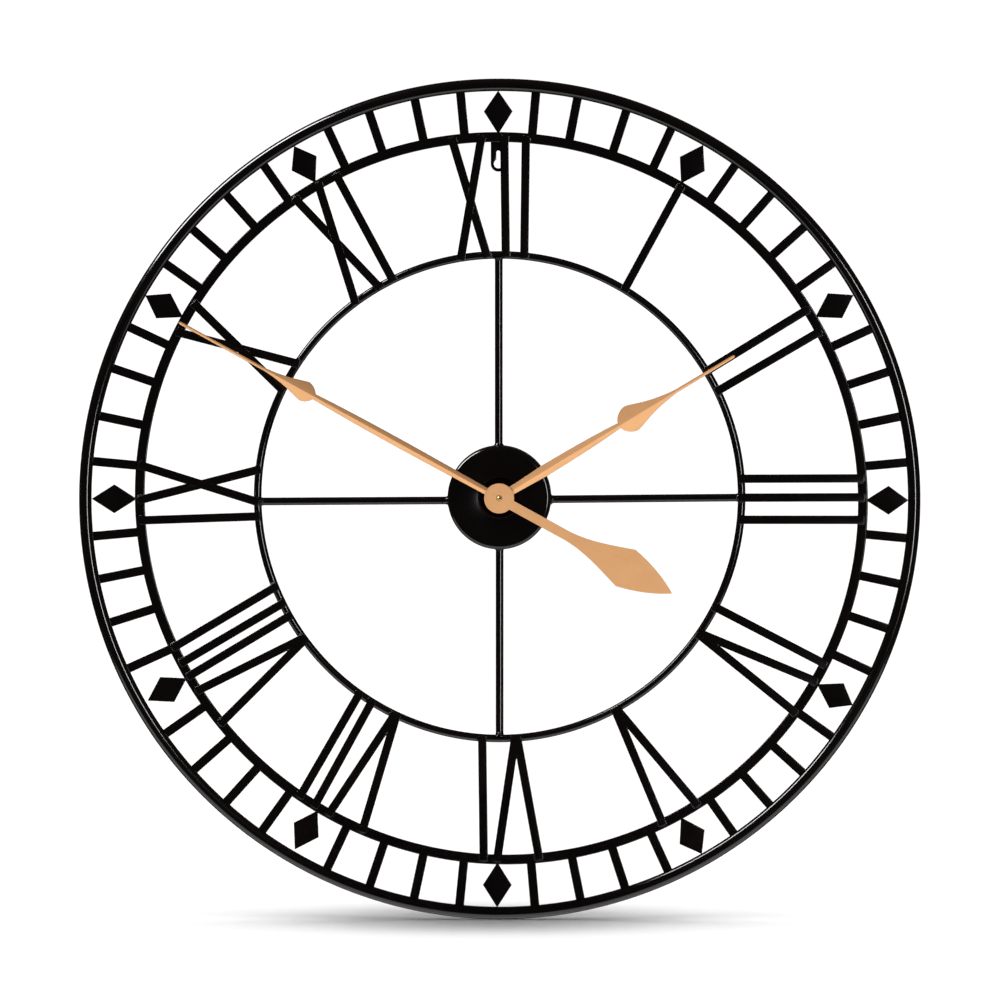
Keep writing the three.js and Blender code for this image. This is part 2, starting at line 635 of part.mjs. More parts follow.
// Step wheel, which the rotor moves on by one step each second.
function stepWheel() {
  const phase = -45 + 180 / STEP_PINION_TEETH;
  const pinion = gear(STEP_PINION_TEETH, STEP_MODULE, STEP_PINION_LAYER, phase);
  const wheel = disc(STEP_WHEEL_RADIUS, ...STEP_WHEEL_LAYER, 24);
  return join([pinion, wheel]).translate(stepWheelPlace.x, stepWheelPlace.y, 0);
}

// Knob behind the cover, on the end of the minute wheel's arbor.
function settingKnob() {
  const knob = new THREE.Shape();
  for (let i = 0; i < 2 * KNOB_NOTCHES; i += 1) {
    const radius = i % 2 === 0 ? KNOB_RADIUS : KNOB_NOTCH_RADIUS;
    const angle = (i * Math.PI) / KNOB_NOTCHES;
    const start = i === 0 ? 'moveTo' : 'lineTo';
    knob[start](radius * Math.cos(angle), radius * Math.sin(angle));
  }
  const body = plate(knob, ...KNOB_LAYER);
  const neck = disc(KNOB_NECK_RADIUS, KNOB_LAYER[0] + 1, COVER_FRONT + 0.5, 12);
  const socket = disc(1, MINUTE_ARBOR_LAYER[0] - 0.5, COVER_FRONT + 1.5, 12);
  return cut(join([body, neck]), [socket]).translate(0, MINUTE_WHEEL_DISTANCE, 0);
}

// ---- Hands ----------------------------------------------------------------------------------

// Each blade points up. Its outline runs from the boss to the tip on one side of the crease,
// as half widths and distances from the arbor: an arm that swells, a neck, a spade, a needle.
function minuteOutline(shape, side) {
  shape.moveTo(0, 13);
  shape.lineTo(side * 3.4, 13);
  shape.lineTo(side * 4.1, 85);
  shape.bezierCurveTo(side * 4.5, 140, side * 3.7, 175, side * 2.8, 200);
  shape.bezierCurveTo(side * 4.2, 200.6, side * 9.6, 205.2, side * 9.8, 210.8);
  shape.bezierCurveTo(side * 8.8, 216.5, side * 4.2, 228, side * 2.2, 246);
  shape.lineTo(side * 1.6, 252);
  shape.lineTo(side * 1.5, 344.5);
  shape.lineTo(side * 0.8, 346.3);
  shape.lineTo(0, 346.7);
}

function hourOutline(shape, side) {
  shape.moveTo(0, 9);
  shape.lineTo(side * 3.9, 9);
  shape.lineTo(side * 5.6, 49);
  shape.bezierCurveTo(side * 5.3, 85, side * 4.6, 110, side * 2.7, 133);
  shape.bezierCurveTo(side * 6, 133.6, side * 12.6, 139.2, side * 13, 146.3);
  shape.bezierCurveTo(side * 12.4, 153.5, side * 4.6, 165, side * 1.7, 196);
  shape.lineTo(side * 1.5, 258.8);
  shape.lineTo(side * 0.8, 260.6);
  shape.lineTo(0, 261);
}

// One side of a blade, leaning back from the crease along its front.
function bladeSide(outline, side) {
  const shape = new THREE.Shape();
  outline(shape, side);
  const lean = side * THREE.MathUtils.degToRad(HAND_FOLD);
  return plate(shape, -HAND_THICKNESS, 0, 6).rotateY(lean).translate(0, 0, HAND_THICKNESS);
}

// The flat counterweight of the minute hand: a strip that flares into a pointed leaf.
function counterweight() {
  const shape = new THREE.Shape();
  shape.moveTo(-4.7, -13);
  shape.lineTo(-4.7, -74);
  shape.bezierCurveTo(-5.6, -95, -11.5, -112, -19.7, -137);
  shape.quadraticCurveTo(-13.5, -166, 0, -187);
  shape.quadraticCurveTo(13.5, -166, 19.7, -137);
  shape.bezierCurveTo(11.5, -112, 5.6, -95, 4.7, -74);
  shape.lineTo(4.7, -13);
  return plate(shape, 0, HAND_THICKNESS, 6);
}

function minuteHand() {
  const blade = [bladeSide(minuteOutline, 1), bladeSide(minuteOutline, -1)];
  const boss = disc(MINUTE_BOSS_RADIUS, 0, HAND_THICKNESS, 32);
  const bore = disc(ARBOR_RADIUS + 0.1, -1, HAND_THICKNESS + 1, 16);
  return cut(join([boss, counterweight(), ...blade]), [bore]).translate(0, 0, MINUTE_HAND_BACK);
}

function hourHand() {
  const blade = [bladeSide(hourOutline, 1), bladeSide(hourOutline, -1)];
  const boss = disc(HOUR_BOSS_RADIUS, 0, HAND_THICKNESS, 32);
  const bore = disc(HOUR_TUBE_RADIUS + 0.1, -1, HAND_THICKNESS + 1, 20);
  return cut(join([boss, ...blade]), [bore]).translate(0, 0, HOUR_HAND_BACK);
}

// Round nut on the arbor's threaded tip, which holds the minute hand.
function handNut() {
  const back = MINUTE_HAND_BACK + HAND_THICKNESS + 0.1;
  return washer(ARBOR_RADIUS + 0.1, HAND_NUT_RADIUS, back, back + HAND_NUT_HEIGHT);
}

// ---- Assembly -------------------------------------------------------------------------------

function addMesh(parent, name, geometry, finish) {
  const mesh = new THREE.Mesh(geometry, finish);
  mesh.name = name;
  parent.add(mesh);
}

const dial = new THREE.Group();
dial.rotation.x = Math.PI / 2;

addMesh(dial, 'outer_ring_tube', outerRingTube(), blackPaint());
addMesh(dial, 'minute_ring', minuteRing(), blackPaint());
addMesh(dial, 'inner_ring', innerRing(), blackPaint());
addMesh(dial, 'hanger_plate', hangerPlate(), blackPaint());

for (const [hour, ringOffset, cupOffset] of SPOKES) {
  addMesh(dial, `spoke_${hour}`, spoke(hour, ringOffset, cupOffset), blackPaint());
}

for (const [hour, strokes] of Object.entries(NUMERALS)) {
  for (const [stroke, bars] of Object.entries(strokes)) {
    const geometry = join(bars.map((bar) => numeralBar(Number(hour), bar)));
    addMesh(dial, `numeral_${hour}_${stroke}`, geometry, blackPaint());
  }
}

const centre = new THREE.Group();
centre.position.y = INNER_RISE;
dial.add(centre);

addMesh(centre, 'hub_cup', hubCup(), blackPaint());
addMesh(centre, 'movement_case', movementCase(), blackPlastic());
addMesh(centre, 'movement_cover', movementCover(), blackPlastic());
addMesh(centre, 'battery', battery(), batteryWrap());
addMesh(centre, 'battery_contact_plus', batteryContact(1), steel());
addMesh(centre, 'battery_contact_minus', batteryContact(-1), steel());
addMesh(centre, 'stator', stator(), steel());
addMesh(centre, 'coil', coil(), copperWire());
addMesh(centre, 'rotor', rotor(), steel());
addMesh(centre, 'circuit_board', circuitBoard(), boardGreen());
addMesh(centre, 'rubber_washer', rubberWasher(), blackRubber());
addMesh(centre, 'brass_washer', brassWasher(), brass());
addMesh(centre, 'hex_nut', hexNut(), brass());
addMesh(centre, 'minute_arbor', minuteArbor(), brass());
addMesh(centre, 'hand_nut', handNut(), brass());
addMesh(centre, 'centre_wheel', centreWheel(), whitePlastic());
addMesh(centre, 'minute_wheel', minuteWheel(), whitePlastic());
addMesh(centre, 'hour_wheel', hourWheel(), whitePlastic());
addMesh(centre, 'third_wheel', thirdWheel(), whitePlastic());
addMesh(centre, 'step_wheel', stepWheel(), whitePlastic());
addMesh(centre, 'setting_knob', settingKnob(), whitePlastic());

const minuteTurn = new THREE.Group();
minuteTurn.rotation.z = -THREE.MathUtils.degToRad(MINUTE_HAND_ANGLE);
centre.add(minuteTurn);
addMesh(minuteTurn, 'minute_hand', minuteHand(), roseGold());

const hourTurn = new THREE.Group();
hourTurn.rotation.z = -THREE.MathUtils.degToRad(HOUR_HAND_ANGLE);
centre.add(hourTurn);
addMesh(hourTurn, 'hour_hand', hourHand(), roseGold());

export default dial;
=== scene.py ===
import json
import math
import random

import bmesh
import bpy
from mathutils import Matrix, Vector

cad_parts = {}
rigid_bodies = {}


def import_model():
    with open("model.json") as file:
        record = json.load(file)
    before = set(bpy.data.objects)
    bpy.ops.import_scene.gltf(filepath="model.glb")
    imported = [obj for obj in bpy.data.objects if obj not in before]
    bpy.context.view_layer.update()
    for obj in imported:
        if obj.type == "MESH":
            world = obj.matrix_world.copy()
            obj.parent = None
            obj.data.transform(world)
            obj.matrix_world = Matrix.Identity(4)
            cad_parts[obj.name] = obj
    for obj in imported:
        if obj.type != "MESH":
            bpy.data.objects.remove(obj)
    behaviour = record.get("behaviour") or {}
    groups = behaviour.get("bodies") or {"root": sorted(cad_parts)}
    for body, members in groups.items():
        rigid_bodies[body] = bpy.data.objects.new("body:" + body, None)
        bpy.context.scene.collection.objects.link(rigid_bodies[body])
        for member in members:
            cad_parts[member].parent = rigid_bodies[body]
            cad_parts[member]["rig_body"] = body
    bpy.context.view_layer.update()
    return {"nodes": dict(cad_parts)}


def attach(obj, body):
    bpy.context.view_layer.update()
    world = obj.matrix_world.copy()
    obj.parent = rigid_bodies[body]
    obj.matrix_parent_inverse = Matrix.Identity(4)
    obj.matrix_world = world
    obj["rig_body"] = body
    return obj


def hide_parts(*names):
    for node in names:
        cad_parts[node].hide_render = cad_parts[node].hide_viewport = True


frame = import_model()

MM = 0.001

# ---- Outer ring ------------------------------------------------------------------------------
# The rim is round steel tube, rolled to a hoop and butt-welded, then sprayed with gloss black
# enamel. It lies against the wall, and the minute bars are welded to its inside.


class Value:
    """A value or colour in a material, so that the maths of a finish reads as an expression."""

    def __init__(self, tree, socket=None):
        self.tree = tree
        self.socket = socket

    def node(self, kind, settings=None, inputs=None, output=0):
        made = self.tree.nodes.new(kind)
        for name, setting in (settings or {}).items():
            setattr(made, name, setting)
        for name, value in (inputs or {}).items():
            if isinstance(value, Value):
                self.tree.links.new(value.socket, made.inputs[name])
            else:
                made.inputs[name].default_value = value
        return Value(self.tree, made.outputs[output])

    def maths(self, operation, first, second):
        return self.node("ShaderNodeMath", {"operation": operation}, {0: first, 1: second})

    def __add__(self, other):
        return self.maths("ADD", self, other)

    __radd__ = __add__

    def __mul__(self, other):
        return self.maths("MULTIPLY", self, other)

    __rmul__ = __mul__

    def between(self, low, high):
        """0 below low, 1 above high, and a straight rise from one to the other."""
        limits = {"From Min": low, "From Max": high}
        return self.node("ShaderNodeMapRange", {"clamp": True}, {"Value": self, **limits})

    def noise(self, scale, detail, stretch=(1, 1, 1)):
        """Soft random clouds in the piece's own space, with a given number of clouds a metre."""
        place = self.node("ShaderNodeTexCoord", output=3)
        fitted = self.node(
            "ShaderNodeMapping", inputs={"Vector": place, "Scale": Vector(stretch)}
        )
        sizes = {"Vector": fitted, "Scale": scale, "Detail": detail, "Roughness": 0.55}
        return self.node("ShaderNodeTexNoise", {"noise_dimensions": "3D"}, sizes)

    def blend(self, low, high):
        """The colour between two colours, or between a colour and a made one."""
        sockets = {0: self}
        for name, colour in ((6, low), (7, high)):
            sockets[name] = colour if isinstance(colour, Value) else (*colour, 1)
        return self.node("ShaderNodeMix", {"data_type": "RGBA"}, sockets, output=2)

    def bump(self, depth, strength):
        """This height, in lengths of a depth in metres, as a bumpy surface direction."""
        return self.node(
            "ShaderNodeBump", inputs={"Height": self, "Distance": depth, "Strength": strength}
        )


def new_finish(name):
    """A material with its own shader, and the start of its maths."""
    material = bpy.data.materials.new(name)
    material.use_nodes = True
    shader = material.node_tree.nodes["Principled BSDF"]
    return material, shader, Value(material.node_tree)


def paint_onto(shader, fixed, varied):
    """Sets what is the same all over on the shader, and links what changes over the surface."""
    for name, value in fixed.items():
        shader.inputs[name].default_value = value
    for name, value in varied.items():
        value.tree.links.new(value.socket, shader.inputs[name])


def gloss_enamel():
    material, shader, start = new_finish("gloss_black_enamel")
    cloud = start.noise(35, 3)
    orange_peel = start.noise(300, 1)
    dust = start.noise(1600, 1).between(0.68, 0.78)
    colour = cloud.between(0.35, 0.65).blend((0.0034, 0.0019, 0.0019), (0.0052, 0.0030, 0.0030))
    paint_onto(
        shader,
        {"Metallic": 0.0, "IOR": 1.45},
        {
            "Base Color": (dust * 0.15).blend(colour, (0.02, 0.017, 0.015)),
            "Roughness": 0.1 + 0.06 * cloud + 0.05 * dust,
            "Normal": (orange_peel + 0.6 * cloud).bump(0.00002, 0.3),
        },
    )
    return material


ENAMEL = gloss_enamel()


def dial(x, y, depth):
    """A point of the dial, x to the right, y up and depth out of the wall, all in millimetres."""
    return Vector((x, -depth, y)) * MM


def piece_from(name, mesh, material, body, stands_for=()):
    """Puts a finished mesh in the scene as a piece of the clock."""
    data = bpy.data.meshes.new(name)
    bmesh.ops.remove_doubles(mesh, verts=mesh.verts, dist=1e-7)
    bmesh.ops.recalc_face_normals(mesh, faces=mesh.faces)
    mesh.to_mesh(data)
    mesh.free()
    data.materials.append(material)
    data.shade_smooth()
    piece = bpy.data.objects.new(name, data)
    bpy.context.scene.collection.objects.link(piece)
    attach(piece, body)
    if stands_for:
        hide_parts(*stands_for)
    return piece


def crisp(piece, degrees):
    """Keeps edges sharper than an angle sharp, and the rest smooth."""
    data = piece.data
    mesh = bmesh.new()
    mesh.from_mesh(data)
    for edge in mesh.edges:
        sharp = len(edge.link_faces) == 2 and edge.calc_face_angle(0) > math.radians(degrees)
        edge.smooth = not sharp
    mesh.to_mesh(data)
    mesh.free()


def turn_section(mesh, section, centre, steps):
    """Turns a closed section of (radius, depth) points into a hoop round a centre of the dial."""
    hoops = []
    for step in range(steps):
        angle = 2 * math.pi * step / steps
        hoops.append(
            [
                mesh.verts.new(
                    dial(centre[0] + r * math.cos(angle), centre[1] + r * math.sin(angle), depth)
                )
                for r, depth in section
            ]
        )
    for here, there in zip(hoops, hoops[1:] + hoops[:1]):
        for i in range(len(section)):
            j = (i + 1) % len(section)
            mesh.faces.new((here[i], here[j], there[j], there[i]))


def round_section(radius, depth, thickness, steps):
    """A round bar's section."""
    turns = [2 * math.pi * i / steps for i in range(steps)]
    half = thickness / 2
    return [(radius + half * math.cos(a), depth + half * math.sin(a)) for a in turns]


TUBE = 12.0
RIM_RADIUS = 394.0
tube_mesh = bmesh.new()
turn_section(tube_mesh, round_section(RIM_RADIUS, TUBE / 2, TUBE, 40), (0, 0), 360)
piece_from("rim_tube", tube_mesh, ENAMEL, "frame", ["outer_ring_tube"])

# ---- Minute ring ------------------------------------------------------------------------------
# A hoop of flat steel bar with its corners drawn round by the mill and the paint, with 48 short
# bars and 12 cut diamonds welded between it and the rim.

SHEET = 3.0
FLAT_BACK = 4.5
FLAT_FRONT = FLAT_BACK + SHEET
HOOP_CORNER = 1.0
CUT_CORNER = 0.45  # on the edges of pieces cut from bar or sheet
PLATE_INSET = 0.03  # the bars' and diamonds' faces lie this far inside the hoop's


def rounded_box_section(low, high, back, front, corner, steps=4):
    """A flat bar's section with round corners, as (across, depth) points."""
    section = []
    for u, v, start in ((high, front, 0), (low, front, 90), (low, back, 180), (high, back, 270)):
        centre_u = u + (corner if u == low else -corner)
        centre_v = v + (corner if v == back else -corner)
        for i in range(steps + 1):
            a = math.radians(start + 90 * i / steps)
            section.append((centre_u + corner * math.cos(a), centre_v + corner * math.sin(a)))
    return section


MINUTE_INNER, MINUTE_OUTER = 339.0, 348.5
# The welded ring's centre, right of and above the rim's, and how far it is out of round.
RING_SHIFT = Vector((1.6, 0.74))
RING_SKEW = 0.0057
ring_mesh = bmesh.new()
turn_section(
    ring_mesh,
    rounded_box_section(MINUTE_INNER, MINUTE_OUTER, FLAT_BACK, FLAT_FRONT, HOOP_CORNER),
    (0, 0),
    360,
)
for point in ring_mesh.verts:
    x, _, y = point.co
    point.co.x += RING_SHIFT.x * MM - RING_SKEW * y
    point.co.z += RING_SHIFT.y * MM - RING_SKEW * x
piece_from("minute_hoop", ring_mesh, ENAMEL, "frame", ["minute_ring"])


def ring_out(way):
    """How much further out than a true ring the minute ring lies, along a way from the centre."""
    return RING_SHIFT.dot(way) - 2 * RING_SKEW * MINUTE_OUTER * way.x * way.y



def flat_plate(mesh, outline, back, front, corner, steps=3):
    """A plate cut to an outline of dial points, with its edges rounded on both faces."""
    count = len(outline)
    points = [Vector(p) for p in outline]
    turned = sum(
        points[i].x * points[(i + 1) % count].y - points[(i + 1) % count].x * points[i].y
        for i in range(count)
    )
    if turned < 0:
        points.reverse()
    inward = []
    for i in range(count):
        before = (points[i] - points[i - 1]).normalized()
        after = (points[(i + 1) % count] - points[i]).normalized()
        normals = Vector((-before.y, before.x)), Vector((-after.y, after.x))
        middle = (normals[0] + normals[1]).normalized()
        inward.append(middle / max(middle.dot(normals[0]), 0.35))
    layers = []
    for depth, sign in ((back, 1), (front, -1)):
        rounds = []
        for i in range(steps + 1):
            a = math.pi / 2 * i / steps
            pull = corner * (1 - math.sin(a)) if sign > 0 else corner * (1 - math.cos(a))
            rise = corner * (1 - math.cos(a)) if sign > 0 else corner * (1 - math.sin(a))
            rounds.append((pull, depth + sign * rise))
        layers.extend(rounds)
    hoops = [
        [mesh.verts.new(dial(*(p + push * pull), depth)) for p, push in zip(points, inward)]
        for pull, depth in layers
    ]
    for here, there in zip(hoops, hoops[1:]):
        for i in range(count):
            j = (i + 1) % count
            mesh.faces.new((here[i], here[j], there[j], there[i]))
    mesh.faces.new(list(reversed(hoops[0])))
    mesh.faces.new(hoops[-1])


def bar_outline(start, end, width):
    """The four corners of a straight bar between two points."""
    along = (end - start).normalized()
    side = Vector((-along.y, along.x)) * width / 2
    return [start - side, end - side, end + side, start + side]


def clock_direction(degrees):
    """The way out from the centre at an angle clockwise from 12."""
    a = math.radians(90 - degrees)
    return Vector((math.cos(a), math.sin(a)))


BAR_WIDTH = 8.0
MINUTE_BAR_WIDTH = 8.5
BAR_INSIDE, BAR_OUTSIDE = 343.5, 388.6
FIRST_BAR, BAR_STEP = 5.3, 6.467  # degrees clockwise from an hour line, and between bars
WELD_DRIFT, WELD_TURN = 0.27, 0.07
# Some bars were welded off their places: the hour and the bar after it, and degrees clockwise.
BAR_SHIFTS = {
    (0, 1): -0.6, (0, 3): 0.3, (8, 1): 0.5, (8, 2): 0.35, (9, 2): 0.5, (9, 3): 0.3,
    (10, 1): -0.3, (10, 3): 0.25, (11, 1): -0.2,
}


def welded_angle(degrees):
    """Where a piece meant for a clockwise angle was welded: all are a little towards 9."""
    return degrees + WELD_TURN - WELD_DRIFT * math.cos(math.radians(degrees))


bars_mesh = bmesh.new()
for hour in range(12):
    for bar in range(4):
        angle = welded_angle(30 * hour + FIRST_BAR + BAR_STEP * bar)
        way = clock_direction(angle + BAR_SHIFTS.get((hour, bar), 0))
        flat_plate(
            bars_mesh,
            bar_outline(way * BAR_INSIDE, way * BAR_OUTSIDE, MINUTE_BAR_WIDTH),
            FLAT_BACK + PLATE_INSET,
            FLAT_FRONT - PLATE_INSET,
            CUT_CORNER,
        )
minute_bars = piece_from("minute_bars", bars_mesh, ENAMEL, "frame", ["minute_ring"])
crisp(minute_bars, 50)

DIAMOND_WIDTH = 27.4
DIAMOND_LENGTH = 43.0
DIAMOND_OVERLAP = 2
diamonds_mesh = bmesh.new()
for hour in range(12):
    way = clock_direction(welded_angle(30 * hour))
    across = Vector((-way.y, way.x)) * DIAMOND_WIDTH / 2
    low = MINUTE_OUTER + ring_out(way) - DIAMOND_OVERLAP
    waist = way * (low + DIAMOND_LENGTH / 2)
    tip = way * min(low + DIAMOND_LENGTH, BAR_OUTSIDE)
    flat_plate(
        diamonds_mesh,
        [way * low, waist - across, tip, waist + across],
        FLAT_BACK + PLATE_INSET,
        FLAT_FRONT - PLATE_INSET,
        CUT_CORNER,
    )
diamonds = piece_from("diamonds", diamonds_mesh, ENAMEL, "frame", ["minute_ring"])
crisp(diamonds, 50)

# ---- Inner ring and spokes ---------------------------------------------------------------------
# Round steel rod: a hoop that the numerals' inner ends are welded over, and four straight rods
# from the hoop to the hub cup, butt-welded at both ends. They sit a little above the rim's centre.

RISE = 2.4
ROD = 7.4
ROD_DEPTH = FLAT_FRONT - ROD / 2
INNER_RADIUS = 230.1
CUP_RADIUS = 49.2

inner_mesh = bmesh.new()
turn_section(inner_mesh, round_section(INNER_RADIUS, ROD_DEPTH, ROD, 28), (0, RISE), 300)
piece_from("inner_hoop", inner_mesh, ENAMEL, "frame", ["inner_ring"])


def point_on_ring(hour, offset, radius, rise):
    """The point on a ring that lies a given distance clockwise of an hour line."""
    outward = clock_direction(30 * hour)
    clockwise = Vector((outward.y, -outward.x))
    across = offset - rise * clockwise.y
    reach = rise * outward.y + math.sqrt(radius**2 - across**2)
    return outward * reach + clockwise * offset


def sweep(mesh, points, radii, sides, flatten=1.0):
    """A closed rod along points of the dial, with a radius at each, squashed along the depth."""
    hoops = []
    for i, (point, radius) in enumerate(zip(points, radii)):
        along = (points[min(i + 1, len(points) - 1)] - points[max(i - 1, 0)]).normalized()
        outward = Vector((0, -1, 0))
        side = along.cross(outward).normalized()
        up = side.cross(along).normalized()
        hoop = []
        for k in range(sides):
            a = 2 * math.pi * k / sides
            hoop.append(
                mesh.verts.new(
                    point + (side * math.cos(a) + up * math.sin(a) * flatten) * radius * MM
                )
            )
        hoops.append(hoop)
    for here, there in zip(hoops, hoops[1:]):
        for k in range(sides):
            j = (k + 1) % sides
            mesh.faces.new((here[k], here[j], there[j], there[k]))
    mesh.faces.new(list(reversed(hoops[0])))
    mesh.faces.new(hoops[-1])


BEAD_FLATTEN = 0.8
BEAD_STEP = 0.35
BEAD_RIPPLE = 1.3  # from one ripple to the next


def weld_bead(mesh, start, end, radius, rng):
    """A rippled bead of weld between two points of the dial, thick in the middle."""
    length = (end - start).length / MM
    steps = max(8, int(length / BEAD_STEP))
    points, radii = [], []
    wander = rng.uniform(0, 6)
    for i in range(steps + 1):
        t = i / steps
        points.append(start.lerp(end, t))
        swell = math.sqrt(max(0.0, 1 - (2 * t - 1) ** 4))
        ripple = 1 + 0.1 * math.sin(2 * math.pi * t * length / BEAD_RIPPLE + wander)
        lump = 1 + 0.12 * math.sin(wander * 2 + 5 * t)
        radii.append(max(0.08, radius * swell * ripple * lump))
    sweep(mesh, points, radii, 10, BEAD_FLATTEN)


# Each spoke's hour, and how far clockwise of the hour line it lies at the ring and at the cup.
SPOKES = [(12, -0.8, -0.8), (3, -1.9, -0.2), (6, 0, 0), (9, -2.1, -1)]
for hour, ring_offset, cup_offset in SPOKES:
    outer = point_on_ring(hour, ring_offset, INNER_RADIUS - ROD / 2 + 0.3, RISE)
    inner = point_on_ring(hour, cup_offset, CUP_RADIUS - 0.4, RISE)
    spoke_mesh = bmesh.new()
    run = [dial(*inner.lerp(outer, t / 12), ROD_DEPTH) for t in range(13)]
    sweep(spoke_mesh, run, [ROD / 2] * len(run), 28)
    spoke = piece_from(
        f"spoke_rod_{hour}", spoke_mesh, ENAMEL, "frame", [f"spoke_{hour}"]
    )
    crisp(spoke, 60)


def collar(mesh, centre, way, radius, height, rng):
    """A fillet of weld round the end of a rod, flared out towards what the rod meets."""
    steps, sides = 7, 28
    side_way = Vector((way.y, -way.x))
    hoops = []
    for i in range(steps):
        t = i / (steps - 1)
        flare = radius + height * (1 - math.sqrt(1 - (1 - t) ** 2))
        hoop = []
        for k in range(sides):
            a = 2 * math.pi * k / sides
            lump = 1 + 0.05 * math.sin(3 * a + rng.uniform(-0.25, 0.25) + 4 * t)
            reach = centre + way * height * t + side_way * flare * lump * math.cos(a)
            level = max(ROD_DEPTH + flare * lump * math.sin(a), 0.05)
            hoop.append(mesh.verts.new(dial(*reach, level)))
        hoops.append(hoop)
    for here, there in zip(hoops, hoops[1:]):
        for k in range(sides):
            j = (k + 1) % sides
            mesh.faces.new((here[k], here[j], there[j], there[k]))
    mesh.faces.new(list(reversed(hoops[0])))
    mesh.faces.new(hoops[-1])


FILLET_RADIUS = ROD / 2 + 0.05
CUP_FILLET, RING_FILLET = 2.4, 2.6
rng = random.Random(12)
fillets = bmesh.new()
for hour, ring_offset, cup_offset in SPOKES:
    way = clock_direction(30 * hour)
    inner = point_on_ring(hour, cup_offset, CUP_RADIUS - 0.3, RISE)
    outer = point_on_ring(hour, ring_offset, INNER_RADIUS - ROD / 2 + 1.2, RISE)
    collar(fillets, inner, way, FILLET_RADIUS, CUP_FILLET, rng)
    collar(fillets, outer, -way, FILLET_RADIUS, RING_FILLET, rng)
    across = Vector((way.y, -way.x))
    front = ROD_DEPTH + ROD / 2 - 0.1
    size = 1.7 if hour == 6 else 0.8
    mark = point_on_ring(hour, ring_offset, INNER_RADIUS - ROD / 2 - 1, RISE)
    weld_bead(
        fillets, dial(*(mark - across * 2.6), front), dial(*(mark + across * 2.4), front), size, rng
    )
    seam = point_on_ring(hour, cup_offset, CUP_RADIUS + 5.2, RISE)
    weld_bead(
        fillets,
        dial(*(seam - across * 3), front - 0.4),
        dial(*(seam + across * 3), front - 0.4),
        0.55,
        rng,
    )
piece_from("spoke_welds", fillets, ENAMEL, "frame")

# ---- Numerals ----------------------------------------------------------------------------------
# Roman numerals of straight flat bar, laid over the fronts of the minute ring and the inner ring
# and welded there. In a V or an X one bar is cut to meet the other, and the joint is welded.

NUMERAL_FRONT = 10.7
NUMERAL_OUTER_END = 345.4
NUMERAL_INNER_END = 228.2

# Each bar's clockwise offset from its hour line at the minute ring and at the inner ring.
NUMERAL_BARS = {
    1: {"bar": [(0, 3)]},
    2: {"bar_a": [(-10.5, -7.5)], "bar_b": [(13.5, 14)]},
    3: {"bar_a": [(-20.5, -20)], "bar_b": [(-2.5, -2)], "bar_c": [(19, 19)]},
    4: {"bar": [(-19.5, -14)], "v": [(-1, 15), (35, 16)]},
    5: {"v": [(-18, 3.5), (20, 4.5)]},
    6: {"v": [(-38, -16.5), (2.5, -15)], "bar": [(15, 16.5)]},
    7: {"v": [(-45, -17.5), (-9, -16)], "bar_a": [(6.5, 9)], "bar_b": [(23, 23)]},
    8: {
        "v": [(-52.5, -22.5), (-14, -21)],
        "bar_a": [(2, 4)],
        "bar_b": [(16.5, 17.5)],
        "bar_c": [(33, 34.5)],
    },
    9: {"bar": [(-20, -16)], "x": [(-1, 29), (33, -3)]},
    10: {"x": [(-15.5, 16.5), (16.5, -13.5)]},
    11: {"x": [(-25.5, 2.5), (1, -25.5)], "bar": [(20, 16.5)]},
    12: {"x": [(-45.5, -11.5), (-17, -37)], "bar_a": [(4.5, 6)], "bar_b": [(25, 23.5)]},
}


def rounded_copy(node, name, material, body, corner, steps=3, angle=30):
    """A copy of a plain solid from the CAD with its edges rounded, to stand in its place."""
    mesh = bmesh.new()
    mesh.from_mesh(frame["nodes"][node].data)
    bmesh.ops.remove_doubles(mesh, verts=mesh.verts, dist=2e-6)
    bmesh.ops.dissolve_limit(
        mesh, angle_limit=math.radians(1.0), verts=mesh.verts, edges=mesh.edges
    )
    piece = piece_from(name, mesh, material, body, [node])
    soften = piece.modifiers.new("rounded_edges", "BEVEL")
    soften.width = corner * MM
    soften.segments = steps
    soften.limit_method = "ANGLE"
    soften.angle_limit = math.radians(angle)
    soften.harden_normals = True
    return piece


for hour, strokes in NUMERAL_BARS.items():
    for stroke in strokes:
        node = f"numeral_{hour}_{stroke}"
        rounded_copy(node, f"{node}_flat", ENAMEL, "frame", CUT_CORNER)


def numeral_end(hour, offset):
    """How far out a bar of a numeral ends, over the minute ring."""
    way = clock_direction(30 * hour + math.degrees(offset / NUMERAL_OUTER_END))
    return NUMERAL_OUTER_END + ring_out(way)


